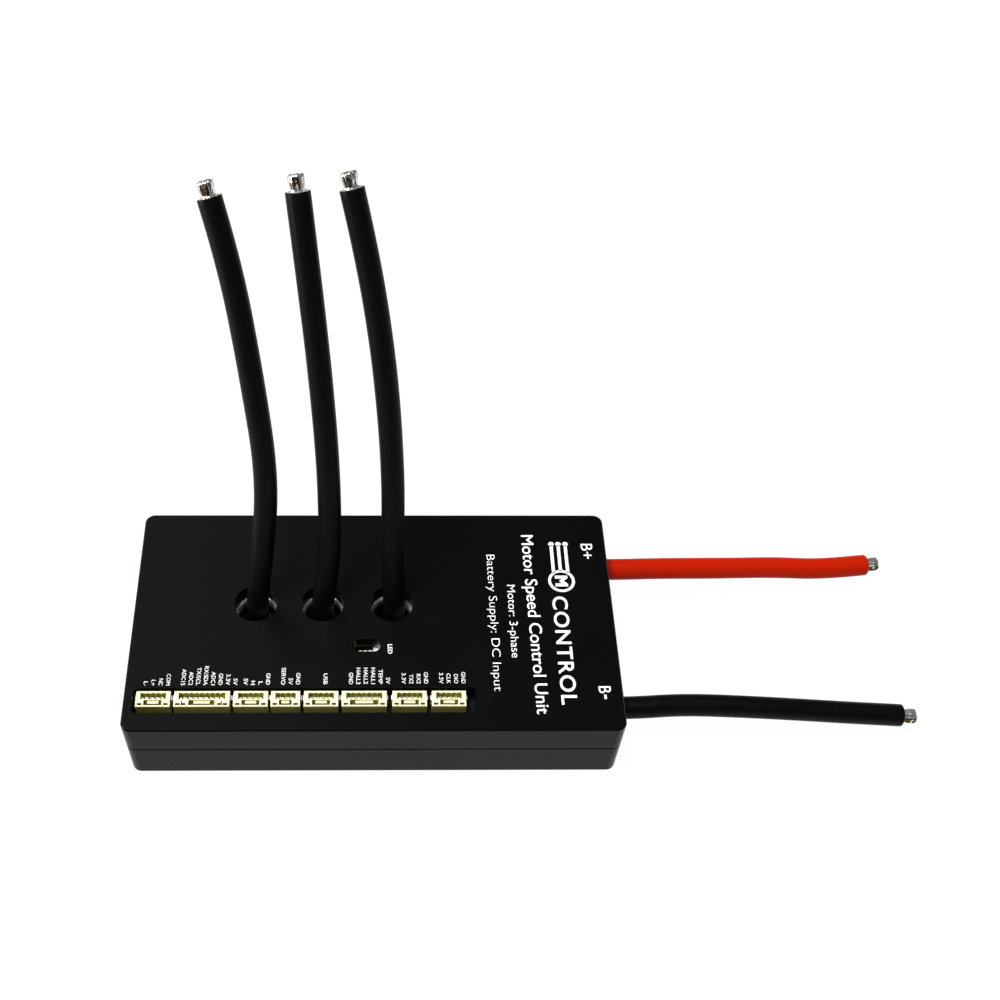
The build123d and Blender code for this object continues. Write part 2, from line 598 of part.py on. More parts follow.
def make_wire(name, points, inner_length, tip_length):
    """Insulation along the route, and the strands that run on past both its ends."""
    radii = corner_radii(points)
    sleeve_path = FilletPolyline(*points, radius=radii)
    sleeve_section = Circle(INSULATION_RADIUS) - Circle(STRAND_RADIUS + SLEEVE_GAP)
    sleeve_start = Plane(origin=sleeve_path @ 0, z_dir=sleeve_path % 0)
    sleeve = sweep(sleeve_start * sleeve_section, path=sleeve_path)

    strand_path = FilletPolyline(*stretched(points, inner_length, tip_length), radius=radii)
    strand_start = Plane(origin=strand_path @ 0, z_dir=strand_path % 0)
    strands = sweep(strand_start * Circle(STRAND_RADIUS), path=strand_path)
    tip_plane = Plane(origin=strand_path @ 1, z_dir=(strand_path % 1) * -1)
    tip = extrude(tip_plane * Circle(TINNED_RADIUS), tip_length)
    strands += tip

    outer_area = pi * INSULATION_RADIUS ** 2
    hollow_area = pi * (STRAND_RADIUS + SLEEVE_GAP) ** 2
    ratio = sleeve.volume / ((outer_area - hollow_area) * sleeve_path.length)
    print(name, "length", round(sleeve_path.length, 1), "volume ratio", round(ratio, 4),
          "radii", [round(radius) for radius in radii])
    save(f"{name}_insulation", sleeve)
    save(f"{name}_conductor", strands)


# ---------------------------------------------------------------- build everything
save("base_shell", make_base_shell())
save("top_cover", make_top_cover())
save("case_screws", *[countersunk_screw(x, y) for x, y in SCREW_PLACES])

save("thermal_pad", make_thermal_pad())
save("power_board", make_power_board())
save("power_board_screws", *[pan_head_screw(x, y, POWER_BOARD_TOP, 4.0)
                             for x, y in POWER_BOARD_SCREWS])
save("mosfets", *[mosfet(MOSFET_FIRST_X + MOSFET_PITCH * i, y) for i in range(6)
                  for y in MOSFET_ROWS])
save("current_shunts", *[shunt(*place) for place in SHUNT_PLACES])
save("phase_terminals", *[phase_cup(*route[0][:2]) for route in PHASE_ROUTES.values()])
save("battery_terminals", *[battery_post(y) for y in (-BATTERY_WIRE_Y, BATTERY_WIRE_Y)])
save("bulk_capacitors", *[bulk_capacitor(y) for y in CAN_PLACES_Y])
first_x, row_y, count = CHIP_CAPACITOR_ROW
save("ceramic_capacitors", *[chip_capacitor(first_x + CHIP_CAPACITOR_PITCH * i, row_y)
                             for i in range(count)])

save("board_spacers", *[spacer(x, y) for x, y in CONTROL_BOARD_SCREWS])
save("control_board_screws", *[pan_head_screw(x, y, CONTROL_BOARD_TOP, 4.5)
                               for x, y in CONTROL_BOARD_SCREWS])
save("control_board", make_control_board())
save("board_eyelets", *[eyelet(x) for x in WIRE_HOLE_X])
link_height = CONTROL_BOARD_BOTTOM - POWER_BOARD_TOP
save("board_link_header", block(*LINK_HEADER, link_height, *LINK_HEADER_PLACE, POWER_BOARD_TOP))
save("microcontroller", make_microcontroller(-24.0, -11.0))
save("gate_drivers", *[flat_chip(DRIVER_CHIP, x, -11.5) for x in (-45.0, -36.5, 12.5)])
save("can_transceiver", two_row_chip(-13.5, -14.3))
save("crystal", flat_chip(CRYSTAL, 1.2, -6.0))
save("voltage_regulator", two_row_chip(-12.0, -7.0))
save("regulator_inductor", make_inductor(4.8, -13.0))
save("status_leds", *[status_led(x) for x in STATUS_LED_X])

tabs = []
for port, pin_count, centre in HEADERS:
    save(f"{port}_port", header_housing(pin_count, centre))
    save(f"{port}_port_pins", *header_pins(pin_count, centre))
    tabs += header_tabs(pin_count, centre)
save("port_solder_tabs", *tabs)

phase_reach = PHASE_ROUTES["phase_a"][0][2] - POWER_BOARD_TOP - CUP_FLOOR
for wire, route in PHASE_ROUTES.items():
    make_wire(wire, route, phase_reach, PHASE_TIP_LENGTH)
battery_reach = BATTERY_ROUTES["battery_positive"][0][0] - BATTERY_POST_X \
    - BATTERY_POST[0] / 2 + BATTERY_BORE_DEPTH
for wire, route in BATTERY_ROUTES.items():
    make_wire(wire, route, battery_reach, BATTERY_TIP_LENGTH)
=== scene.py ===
# Looks of the electronic speed controller: a black anodised case, ivory signal headers,
# white print, silicone wires with tinned ends, on a plain pale floor.
# Lengths below are in millimetres unless a name says otherwise; Blender works in metres.
import json
import random
from math import cos, pi, radians, sin, tau

import bpy
from mathutils import Matrix, Vector, noise


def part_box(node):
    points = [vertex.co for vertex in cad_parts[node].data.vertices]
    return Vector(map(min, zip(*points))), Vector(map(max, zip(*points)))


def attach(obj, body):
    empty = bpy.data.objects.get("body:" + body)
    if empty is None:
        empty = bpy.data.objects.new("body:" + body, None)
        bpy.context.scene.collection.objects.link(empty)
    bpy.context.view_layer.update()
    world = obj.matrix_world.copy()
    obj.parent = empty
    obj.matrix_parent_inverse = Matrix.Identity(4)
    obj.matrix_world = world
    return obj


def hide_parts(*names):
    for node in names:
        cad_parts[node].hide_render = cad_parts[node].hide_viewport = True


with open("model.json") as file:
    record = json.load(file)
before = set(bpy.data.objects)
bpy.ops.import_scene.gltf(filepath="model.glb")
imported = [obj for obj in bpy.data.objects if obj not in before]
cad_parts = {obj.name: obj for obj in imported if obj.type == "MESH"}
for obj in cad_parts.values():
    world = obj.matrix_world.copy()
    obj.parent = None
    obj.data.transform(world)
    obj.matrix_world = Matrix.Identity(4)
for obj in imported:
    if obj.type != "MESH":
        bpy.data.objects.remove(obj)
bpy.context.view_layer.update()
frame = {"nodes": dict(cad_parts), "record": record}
NODES = frame["nodes"]
MM = 0.001
random.seed(7)

# ---- Camera: above the front edge, looking down at the case and along its wires ----
CAMERA_TARGET = Vector((6.79, 22.05, 0.0))
CAMERA_DISTANCE = 351.35
CAMERA_YAW = radians(1.782)
CAMERA_PITCH = radians(55.240)
CAMERA_ROLL = radians(1.446)
CAMERA_LENS = 47.208
CAMERA_SHIFT = (0.10, 0.09)
SENSOR_WIDTH = 36.0

# ---- Light and floor ----
FLOOR_REACH = 3000.0        # from the case's middle to the floor's edge
FLOOR_GAP = 0.02            # keeps the floor just clear of the case's underside
FLOOR_GLOW = 0.97
SKY_GLOW = 0.16
# name, place in metres, side in metres, power in watts
LIGHTS = [
    ("overhead", (-0.35, -0.05, 1.4), 0.5, 27.0),
    ("left", (-1.4, 0.1, 0.6), 0.8, 8.0),
    ("low_left", (-1.5, -0.2, 0.22), 0.6, 16.0),
    ("back", (-1.2, 1.5, 1.9), 2.0, 16.0),
]

# ---- Wires: the routes of their insulation, from the terminal to the stripped end ----
INSULATION_RADIUS = 2.75
STRAND_RADIUS = 1.55
TINNED_RADIUS = 1.8
CUP_REACH = 5.5             # strands below the insulation, in the solder cup
POST_REACH = 6.8
PHASE_TIP_LENGTH = 3.5
BATTERY_TIP_LENGTH = 3.6
SLEEVE_SIDES = 40
SLEEVE_WAVER = 0.012        # unevenness of the sleeve, as a share of its radius
WAVER_PER_METRE = 90
STRAND_GAP = 0.05           # between the strands and the inside of the sleeve
SLEEVE_BORE_DEPTH = 1.5     # how far the modelled bore goes in from each end of the sleeve
CUT_ROUNDING = 0.22
TIP_SIDES = 96
TIP_STEPS = 30
TIP_CREASES = 7
CREASE_DEPTH = 0.11         # as a share of the tip's radius, like the next
LUMP_DEPTH = 0.05
RIM_DROP = 0.07             # as a share of the tip's length, like the next
RIM_RAGGEDNESS = 0.09
END_RINGS = (0.93, 0.82, 0.66, 0.48, 0.3, 0.14)     # the end face's rings, as shares of its rim
PHASE_ROUTES = {
    "phase_a": [
        (-29.1, 4.2, 11.1), (-29.1, 4.2, 20.5), (-27.1, 8.1, 32.6), (-24.6, 16.1, 53.6),
        (-27.2, 26.8, 76.7), (-30.6, 38.1, 97.7), (-34.4, 45.6, 110.0),
    ],
    "phase_b": [
        (-13.0, 4.2, 11.1), (-13.0, 4.2, 20.5), (-10.7, 8.1, 32.6), (-10.4, 16.1, 53.6),
        (-11.9, 26.8, 76.7), (-14.2, 38.1, 97.7), (-15.9, 46.2, 111.1),
    ],
    "phase_c": [
        (4.9, 4.2, 11.1), (4.9, 4.2, 20.5), (4.3, 8.1, 32.6), (4.5, 16.1, 53.6),
        (2.7, 26.8, 76.7), (-0.8, 38.1, 97.7), (-4.6, 46.6, 111.6),
    ],
}
BATTERY_ROUTES = {
    "battery_positive": [
        (51.0, 20.7, 11.2), (62.0, 20.7, 11.2), (75.1, 21.3, 11.0), (90.3, 21.8, 10.3),
        (105.0, 23.1, 9.0), (118.7, 23.1, 8.0), (130.3, 25.0, 7.4),
    ],
    "battery_negative": [
        (51.0, -20.7, 11.2), (62.0, -20.7, 11.2), (75.1, -19.6, 11.0), (90.3, -19.8, 10.3),
        (105.0, -20.0, 9.0), (118.7, -20.4, 8.0), (129.6, -20.7, 7.4),
    ],
}

# ---- Print on the cover ----
PRINT_THICKNESS = 0.02
PIN_LABEL_PITCH = 1.76
PIN_LABEL_CAPITAL = 0.95
PIN_LABEL_END_Y = -19.16    # where the labels end, at the middle of the case
PRINT_SLANT = 0.006         # the print is not quite square to the case
LED_LABEL = (3.25, -8.05, 1.05)     # foot, start and height of its capitals
# text, foot x, start y, height of its capitals, length, added weight, tilt, letter spacing
TITLES = [
    ("B+", 52.7, 22.3, 2.9, 4.7, 0.0, 0.0, 1.0),
    ("B", 53.2, -19.9, 2.9, 1.9, 0.0, 0.0, 1.0),
    ("Motor Speed Control Unit", 37.6, 25.1, 3.0, 52.5, 0.006, 0.01, 1.0),
    ("Motor: 3-phase", 33.1, 9.5, 2.0, 21.4, -0.004, 0.0, 1.0),
    ("Battery Supply: DC Input", 28.4, 18.85, 2.05, 40.0, -0.01, 0.0, 1.0),
    ("CONTROL", 44.2, 6.0, 3.6, 30.9, 0.012, 0.0, 1.1),
]
MINUS_SIGN = ((54.35, -22.2), (54.9, -23.4))        # two opposite corners
MOTOR_CENTRE = (46.9, 10.7)
MOTOR_RING = (2.65, 3.35)
MOTOR_LETTER = (45.5, 12.35, 2.75, 3.3)
PHASE_LINE_OFFSETS = (-1.8, 0.0, 1.8)
PHASE_LINE_WIDTH = 0.8
PHASE_LINE_END = 21.9
PHASE_DOT_Y = 22.2
PHASE_DOT_RADIUS = 0.7
# port, shift of its labels from the header's centre, labels from left to right
PIN_LABELS = [
    ("power_switch", 0.75, ["L-", "L+", "NC", "COM"]),
    ("sensor", 1.6, ["ADC15", "ADC2", "TX/SCL", "RX/SDA", "ADC1", "GND", "3.3V", "5V"]),
    ("can", 1.33, ["5V", "H", "L", "GND"]),
    ("servo", 1.13, ["SERVO", "5V", "GND"]),
    ("usb", 0.98, ["USB"]),
    ("hall", 1.23, ["GND", "HALL3", "HALL2", "HALL1", "TEMP", "5V"]),
    ("bluetooth", 1.27, ["3.3V", "TX2", "RX2", "GND"]),
    ("debug", 0.88, ["3.3V", "CLK", "DIO", "GND"]),
]
LABEL_LENGTHS = {
    "L-": 1.1, "L+": 1.5, "NC": 1.85, "COM": 3.1, "ADC15": 4.45, "ADC2": 3.65, "ADC1": 3.65,
    "TX/SCL": 4.85, "RX/SDA": 5.2, "GND": 3.15, "3.3V": 2.95, "5V": 1.75, "H": 1.05, "L": 0.85,
    "SERVO": 4.65, "USB": 2.95, "HALL3": 4.5, "HALL2": 4.5, "HALL1": 4.5, "TEMP": 4.0,
    "TX2": 2.55, "RX2": 2.65, "CLK": 2.75, "DIO": 2.55, "LED": 2.65,
}


# ---------------------------------------------------------------- materials
class Shading:
    """One procedural material: a Principled shader and the textures that feed it."""

    def __init__(self, name, colour, roughness, metallic=0.0, ior=1.5):
        self.material = bpy.data.materials.new(name)
        self.material.use_nodes = True
        self.tree = self.material.node_tree
        self.shader = self.tree.nodes["Principled BSDF"]
        self.shader.inputs["Base Color"].default_value = (*colour, 1.0)
        self.shader.inputs["Roughness"].default_value = roughness
        self.shader.inputs["Metallic"].default_value = metallic
        self.shader.inputs["IOR"].default_value = ior
        self.place = self.tree.nodes.new("ShaderNodeTexCoord")

    def noise(self, size, detail=3.0, stretch=(1.0, 1.0, 1.0)):
        """Noise whose features are about size millimetres across, times stretch."""
        mapping = self.tree.nodes.new("ShaderNodeMapping")
        mapping.inputs["Scale"].default_value = tuple(1.0 / s for s in stretch)
        texture = self.tree.nodes.new("ShaderNodeTexNoise")
        texture.inputs["Scale"].default_value = 1.0 / (size * MM)
        texture.inputs["Detail"].default_value = detail
        self.tree.links.new(self.place.outputs["Object"], mapping.inputs["Vector"])
        self.tree.links.new(mapping.outputs["Vector"], texture.inputs["Vector"])
        return texture.outputs["Fac"]

    def ranged(self, factor, low, high, start=0.3, end=0.7):
        """The factor, stretched so that start gives low and end gives high."""
        node = self.tree.nodes.new("ShaderNodeMapRange")
        node.inputs["From Min"].default_value = start
        node.inputs["From Max"].default_value = end
        node.inputs["To Min"].default_value = low
        node.inputs["To Max"].default_value = high
        self.tree.links.new(factor, node.inputs["Value"])
        return node.outputs["Result"]

    def vary_colour(self, factor, first, second, start=0.3, end=0.7):
        """A base colour that runs from first to second as the factor goes from start to end."""
        ramp = self.tree.nodes.new("ShaderNodeValToRGB")
        ramp.color_ramp.elements[0].position = start
        ramp.color_ramp.elements[1].position = end
        ramp.color_ramp.elements[0].color = (*first, 1.0)
        ramp.color_ramp.elements[1].color = (*second, 1.0)
        self.tree.links.new(factor, ramp.inputs["Fac"])
        self.tree.links.new(ramp.outputs["Color"], self.shader.inputs["Base Color"])

    def speckle(self, spacing, ground, speck, size):
        """Scattered dots of speck colour on the ground colour, spacing millimetres apart.

        The size is a share of the spacing."""
        cells = self.tree.nodes.new("ShaderNodeTexVoronoi")
        cells.inputs["Scale"].default_value = 1.0 / (spacing * MM)
        self.tree.links.new(self.place.outputs["Object"], cells.inputs["Vector"])
        near = self.ranged(cells.outputs["Distance"], 1.0, 0.0, size * 0.5, size)
        some = self.ranged(self.noise(spacing * 4, 1.0), 0.0, 1.0, 0.52, 0.66)
        self.vary_colour(self.product(near, some), ground, speck, 0.0, 1.0)

    def product(self, first, second):
        """The product of two outputs."""
        node = self.tree.nodes.new("ShaderNodeMath")
        node.operation = "MULTIPLY"
        self.tree.links.new(first, node.inputs[0])
        self.tree.links.new(second, node.inputs[1])
        return node.outputs["Value"]

    def facing(self, direction, start, end):
        """1 where the surface faces the given way, 0 where it faces elsewhere."""
        geometry = self.tree.nodes.new("ShaderNodeNewGeometry")
        along = self.tree.nodes.new("ShaderNodeVectorMath")
        along.operation = "DOT_PRODUCT"
        along.inputs[1].default_value = direction
        self.tree.links.new(geometry.outputs["Normal"], along.inputs[0])
        return self.ranged(along.outputs["Value"], 0.0, 1.0, start, end)

    def paint_crevice_shade(self, deep, reach):
        """Painted shade: shifts the colour towards the deep colour where other surfaces are
        within reach millimetres, so crevices and recesses come out darker.
        """
        base = self.shader.inputs["Base Color"]
        surface = base.links[0].from_socket
        openness = self.tree.nodes.new("ShaderNodeAmbientOcclusion")
        openness.inputs["Distance"].default_value = reach * MM
        mix = self.tree.nodes.new("ShaderNodeMix")
        mix.data_type = "RGBA"
        mix.inputs["A"].default_value = (*deep, 1.0)
        share = self.ranged(openness.outputs["AO"], 0.0, 1.0, 0.35, 0.72)
        self.tree.links.new(share, mix.inputs["Factor"])
        self.tree.links.new(surface, mix.inputs["B"])
        self.tree.links.new(mix.outputs["Result"], base)

    def vary_roughness(self, factor, low, high):
        self.tree.links.new(self.ranged(factor, low, high), self.shader.inputs["Roughness"])

    def bump(self, factor, depth, strength=1.0):
        """Relief of about depth millimetres."""
        node = self.tree.nodes.new("ShaderNodeBump")
        node.inputs["Strength"].default_value = strength
        node.inputs["Distance"].default_value = depth * MM
        self.tree.links.new(factor, node.inputs["Height"])
        self.tree.links.new(node.outputs["Normal"], self.shader.inputs["Normal"])


def anodised_metal():
    """Black anodising over a fine bead-blasted grain, with sparse specks of dust."""
    s = Shading("anodised_metal", (0.0018, 0.0023, 0.0020), 0.27, ior=1.33)
    s.speckle(2.4, (0.0016, 0.0021, 0.0018), (0.04, 0.044, 0.04), 0.05)
    s.vary_roughness(s.noise(14.0, 4.0), 0.23, 0.31)
    s.bump(s.noise(0.09, 2.0), 0.0012, 0.5)
    s.shader.inputs["Specular IOR Level"].default_value = 0.14
    s.shader.inputs["Specular Tint"].default_value = (0.89, 1.0, 0.94, 1.0)
    return s.material


def moulded_nylon(name, light, dark, roughness):
    """Moulded plastic: a faint flow pattern and a slightly orange-peel surface."""
    s = Shading(name, light, roughness)
    s.vary_colour(s.noise(1.6, 3.0, (3.0, 1.0, 1.0)), light, dark)
    s.vary_roughness(s.noise(0.4), roughness - 0.06, roughness + 0.1)
    s.bump(s.noise(0.25), 0.006, 0.4)
    return s


def black_nylon():
    return moulded_nylon("black_nylon", (0.03, 0.03, 0.03), (0.02, 0.02, 0.02), 0.5).material


def ivory_nylon():
    """Natural nylon, left unpigmented, with painted shade that makes it darker and more olive in
    its crevices and recesses.
    """
    s = moulded_nylon("ivory_nylon", (0.80, 0.78, 0.51), (0.75, 0.73, 0.47), 0.34)
    # painted shade: dark olive where the headers' cavities, slots and near faces lie in shadow
    s.paint_crevice_shade((0.42, 0.39, 0.05), 4.0)
    return s.material


def plated_metal(name, light, dark, roughness, grain=0.35, relief=0.02):
    """Plated or soldered metal with a dull, uneven skin."""
    s = Shading(name, light, roughness, metallic=1.0)
    s.vary_colour(s.noise(grain * 3), light, dark)
    s.vary_roughness(s.noise(grain), roughness - 0.08, roughness + 0.16)
    s.bump(s.noise(grain), relief, 0.35)
    return s.material


def silicone(name, light, dark, dust, gloss=0.25):
    """Wire insulation: soft, with faint marks along it and a few specks of dust."""
    s = Shading(name, light, 0.5, ior=1.41)
    s.speckle(1.1, dark, dust, 0.04)
    s.vary_roughness(s.noise(1.2, 4.0), 0.34, 0.46)
    s.bump(s.noise(0.35), 0.012, 0.5)
    s.shader.inputs["Specular IOR Level"].default_value = gloss
    return s.material


def solder_mask(name, light, dark):
    s = Shading(name, light, 0.28)
    s.shader.inputs["Specular IOR Level"].default_value = 0.15
    s.vary_colour(s.noise(2.2), light, dark)
    s.vary_roughness(s.noise(0.8), 0.22, 0.4)
    s.bump(s.noise(0.6), 0.01, 0.5)
    return s.material


def moulded_epoxy():
    s = Shading("moulded_epoxy", (0.022, 0.022, 0.023), 0.55)
    s.vary_colour(s.noise(1.0), (0.018, 0.018, 0.019), (0.034, 0.034, 0.035))
    s.vary_roughness(s.noise(0.3), 0.46, 0.66)
    s.bump(s.noise(0.08), 0.008, 0.6)
    return s.material


def white_ink():
    """Pad-printed white ink: very slightly uneven cover."""
    s = Shading("white_ink", (0.9, 0.9, 0.88), 0.6)
    s.vary_colour(s.noise(0.6, 3.0), (0.84, 0.84, 0.82), (0.92, 0.92, 0.9))
    s.vary_roughness(s.noise(0.2), 0.5, 0.7)
    s.bump(s.noise(0.12), 0.003, 0.4)
    return s.material


def tinned_strands():
    """Solder over fine copper strands, with dull copper-brown patches painted only where the
    surface faces the front, -Y: partly bare copper, partly painted shade.
    """
    s = Shading("tinned_strands", (0.9, 0.9, 0.86), 0.2, metallic=1.0)
    patches = s.ranged(s.noise(0.9, 2.0, (1.0, 1.0, 4.0)), 0.0, 1.0, 0.34, 0.44)
    # painted shade: the copper brown is kept to the side of the tip that faces -Y
    copper_and_front_shade = s.product(s.facing((0.0, -1.0, 0.0), 0.66, 0.80), patches)
    s.vary_colour(copper_and_front_shade, (0.9, 0.9, 0.86), (0.085, 0.06, 0.035), 0.0, 1.0)
    s.vary_roughness(s.noise(0.3), 0.14, 0.28)
    s.bump(s.noise(0.3), 0.02, 0.3)
    s.shader.inputs["Specular Tint"].default_value = (0.3, 0.3, 0.22, 1.0)
    return s.material


def pad_silicone():
    s = Shading("pad_silicone", (0.4, 0.43, 0.48), 0.8)
    s.vary_colour(s.noise(1.4), (0.36, 0.39, 0.44), (0.46, 0.49, 0.54))
    s.bump(s.noise(0.3), 0.02, 0.5)
    return s.material


def fired_ceramic(name, light, dark):
    s = Shading(name, light, 0.45)
    s.vary_colour(s.noise(0.8), light, dark)
    s.vary_roughness(s.noise(0.3), 0.35, 0.6)
    s.bump(s.noise(0.15), 0.01, 0.5)
    return s.material


def lamp_resin():
    """Clear resin over a pale phosphor."""
    s = Shading("lamp_resin", (0.85, 0.86, 0.7), 0.2)
    s.vary_colour(s.noise(0.3), (0.62, 0.64, 0.34), (0.74, 0.75, 0.48))
    s.shader.inputs["Coat Weight"].default_value = 0.6
    s.bump(s.noise(0.2), 0.01, 0.4)
    return s.material


LOOKS = {
    "case_metal": anodised_metal(),
    "screw_steel": plated_metal("zinc_steel", (0.55, 0.55, 0.56), (0.42, 0.42, 0.44), 0.3),
    "thermal_silicone": pad_silicone(),
    "power_board_laminate": solder_mask("power_board_mask", (0.02, 0.022, 0.025),
                                        (0.035, 0.038, 0.04)),
    "board_laminate": solder_mask("control_board_mask", (0.002, 0.003, 0.0025),
                                  (0.004, 0.006, 0.005)),
    "chip_plastic": moulded_epoxy(),
    "copper": plated_metal("oxidised_copper", (0.05, 0.03, 0.022), (0.03, 0.02, 0.015), 0.5),
    "tinned_metal": plated_metal("tin_plate", (0.95, 0.95, 0.93), (0.91, 0.91, 0.89), 0.42, 0.8,
                                 0.002),
    "capacitor_can": plated_metal("drawn_can", (0.62, 0.62, 0.64), (0.5, 0.5, 0.53), 0.3),
    "ceramic_chip": fired_ceramic("ceramic_body", (0.42, 0.3, 0.2), (0.5, 0.37, 0.26)),
    "spacer_brass": plated_metal("turned_brass", (0.75, 0.6, 0.32), (0.6, 0.46, 0.24), 0.3),
    "header_plastic": ivory_nylon(),
    "link_plastic": black_nylon(),
    "ferrite": fired_ceramic("pressed_ferrite", (0.1, 0.1, 0.11), (0.14, 0.14, 0.15)),
    "led_lens": lamp_resin(),
    "silicone_black": silicone("black_silicone", (0.002, 0.002, 0.002), (0.0016, 0.0018, 0.0017),
                               (0.04, 0.04, 0.04), 0.1),
    "silicone_red": silicone("red_silicone", (0.45, 0.013, 0.001), (0.42, 0.011, 0.001),
                             (0.6, 0.03, 0.01), 0.06),
    "tinned_strands": tinned_strands(),
}
WHITE_INK = white_ink()
# Painted highlight: the cut ends and bores of all sleeves, the red one too, are painted pale grey
# where the flat end catches the light
CUT_END_HIGHLIGHT = silicone("cut_end_highlight", (0.36, 0.37, 0.34), (0.26, 0.27, 0.24), (0.6, 0.6, 0.6))

for row in frame["record"]["subparts"]:
    look = NODES[row["node"]].data.materials
    look.clear()
    look.append(LOOKS[row["material_slot"]])


# ---------------------------------------------------------------- mesh helpers
def add_piece(name, vertices, faces, materials, smooth=True):
    """A new mesh object, its points in metres, riding on the one body."""
    mesh = bpy.data.meshes.new(name)
    mesh.from_pydata(vertices, [], faces)
    for material in materials:
        mesh.materials.append(material)
    mesh.validate()
    for polygon in mesh.polygons:
        polygon.use_smooth = smooth
    piece = bpy.data.objects.new(name, mesh)
    bpy.context.scene.collection.objects.link(piece)
    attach(piece, "root")
    return piece


def evaluated_mesh(data):
    """The mesh that a curve or text makes, as Blender evaluates it."""
    holder = bpy.data.objects.new("holder", data)
    bpy.context.scene.collection.objects.link(holder)
    bpy.context.view_layer.update()
    depsgraph = bpy.context.evaluated_depsgraph_get()
    mesh = bpy.data.meshes.new_from_object(holder.evaluated_get(depsgraph))
    bpy.data.objects.remove(holder)
    return mesh


def smooth_route(points):
    """The NURBS line through a route given in millimetres, as points in metres."""
    curve = bpy.data.curves.new("route", "CURVE")
    curve.dimensions = "3D"
    curve.resolution_u = 16
    spline = curve.splines.new("NURBS")
    spline.points.add(len(points) - 1)
    for knot, point in zip(spline.points, points):
        knot.co = (*(Vector(point) * MM), 1.0)
    spline.order_u = 3
    spline.use_endpoint_u = True
    mesh = evaluated_mesh(curve)
    line = [vertex.co.copy() for vertex in mesh.vertices]
    bpy.data.meshes.remove(mesh)
    bpy.data.curves.remove(curve)
    return line


def frames_along(line):
    """(point, tangent, side, up) along a line, with no twist between neighbours."""
    frames = []
    side = Vector((1.0, 0.0, 0.0))
    for i, point in enumerate(line):
        tangent = (line[min(i + 1, len(line) - 1)] - line[max(i - 1, 0)]).normalized()
        if abs(tangent.dot(side)) > 0.9 and not frames:
            side = Vector((0.0, 1.0, 0.0))
        side = (side - tangent * side.dot(tangent)).normalized()
        frames.append((point, tangent, side, tangent.cross(side)))
    return frames


def tube_rings(rings, sides):
    """Outward faces between successive rings of points, each with the same number of sides."""
    faces = []
    for r in range(rings - 1):
        low, high = r * sides, (r + 1) * sides
        for i in range(sides):
            j = (i + 1) % sides
            faces.append((high + i, high + j, low + j, low + i))
    return faces


# ---------------------------------------------------------------- wires
def make_insulation(name, line, material):
    """A soft tube along the line, with a cut end whose edge is slightly rounded and which carries
    a painted highlight in pale grey.
    """
    bore = (STRAND_RADIUS + STRAND_GAP) * MM
    radius = INSULATION_RADIUS * MM
    depth = SLEEVE_BORE_DEPTH * MM
    frames = frames_along(line)
    seed = Vector((random.uniform(0, 9), 0, 0))
    vertices = []

    def ring(at, size, lump=0.0):
        point, _, side, up = at
        for i in range(SLEEVE_SIDES):
            angle = tau * i / SLEEVE_SIDES
            out = side * cos(angle) + up * sin(angle)
            waver = 1 + lump * noise.noise(seed + (point + out * radius) * WAVER_PER_METRE)
            vertices.append(point + out * size * waver)

    start, end = frames[0], frames[-1]
    ring((start[0] + start[1] * depth, *start[1:]), bore)
    ring(start, bore)
    ring(start, radius)
    for at in frames[1:-1]:
        ring(at, radius, SLEEVE_WAVER)
    # the cut edge: a short rounded run from the side to the flat end
    rounding = CUT_ROUNDING * MM
    for step in (0.0, 0.35, 0.7, 1.0):
        inset = rounding * (1 - cos(step * pi / 2))
        back = rounding * (1 - sin(step * pi / 2))
        ring((end[0] - end[1] * back, *end[1:]), radius - inset)
    cut_from = len(vertices) // SLEEVE_SIDES - 1
    ring(end, bore)
    ring((end[0] - end[1] * depth, *end[1:]), bore)
    rings = len(vertices) // SLEEVE_SIDES
    faces = tube_rings(rings, SLEEVE_SIDES)
    piece = add_piece(f"{name}_sleeve", vertices, faces, [material, CUT_END_HIGHLIGHT])
    # the end face and the bore get the painted highlight
    for polygon in piece.data.polygons:
        if polygon.index // SLEEVE_SIDES >= cut_from:
            polygon.material_index = 1
    return piece


def tip_profile(share):
    """Radius of the soldered tip, as a share of its widest: a neck, a flare, a soft rim."""
    flare = 0.84 + 0.16 * min(1.0, share / 0.55) ** 1.5
    skirt = 0.10 * max(0.0, 1 - share / 0.12)
    rim = 0.08 * max(0.0, (share - 0.86) / 0.14) ** 2
    return flare + skirt - rim


def tip_point(at, angle, share, tip, seed, phase):
    """A point on the soldered tip: seed and phase place its creases, lumps and ragged rim."""
    point, tangent, side, up = at
    around = Vector((cos(angle), sin(angle), 0.0))
    wander = 2.2 * noise.noise(seed + around)
    twist = angle * TIP_CREASES + phase + share * 1.2 + wander
    dent = CREASE_DEPTH * (1 - abs(sin(twist / 2))) ** 3
    dent += LUMP_DEPTH * noise.noise(seed * 2 + around * 1.6 + Vector((0, 0, share * 1.2)))
    ragged = noise.noise(seed * 3 + around * 1.4)
    drop = tip * share ** 3 * (RIM_DROP + RIM_RAGGEDNESS * ragged)
    radius = TINNED_RADIUS * MM
    size = min(radius * tip_profile(share) * (1 - dent), radius * 1.02)
    return point + (side * cos(angle) + up * sin(angle)) * size - tangent * drop


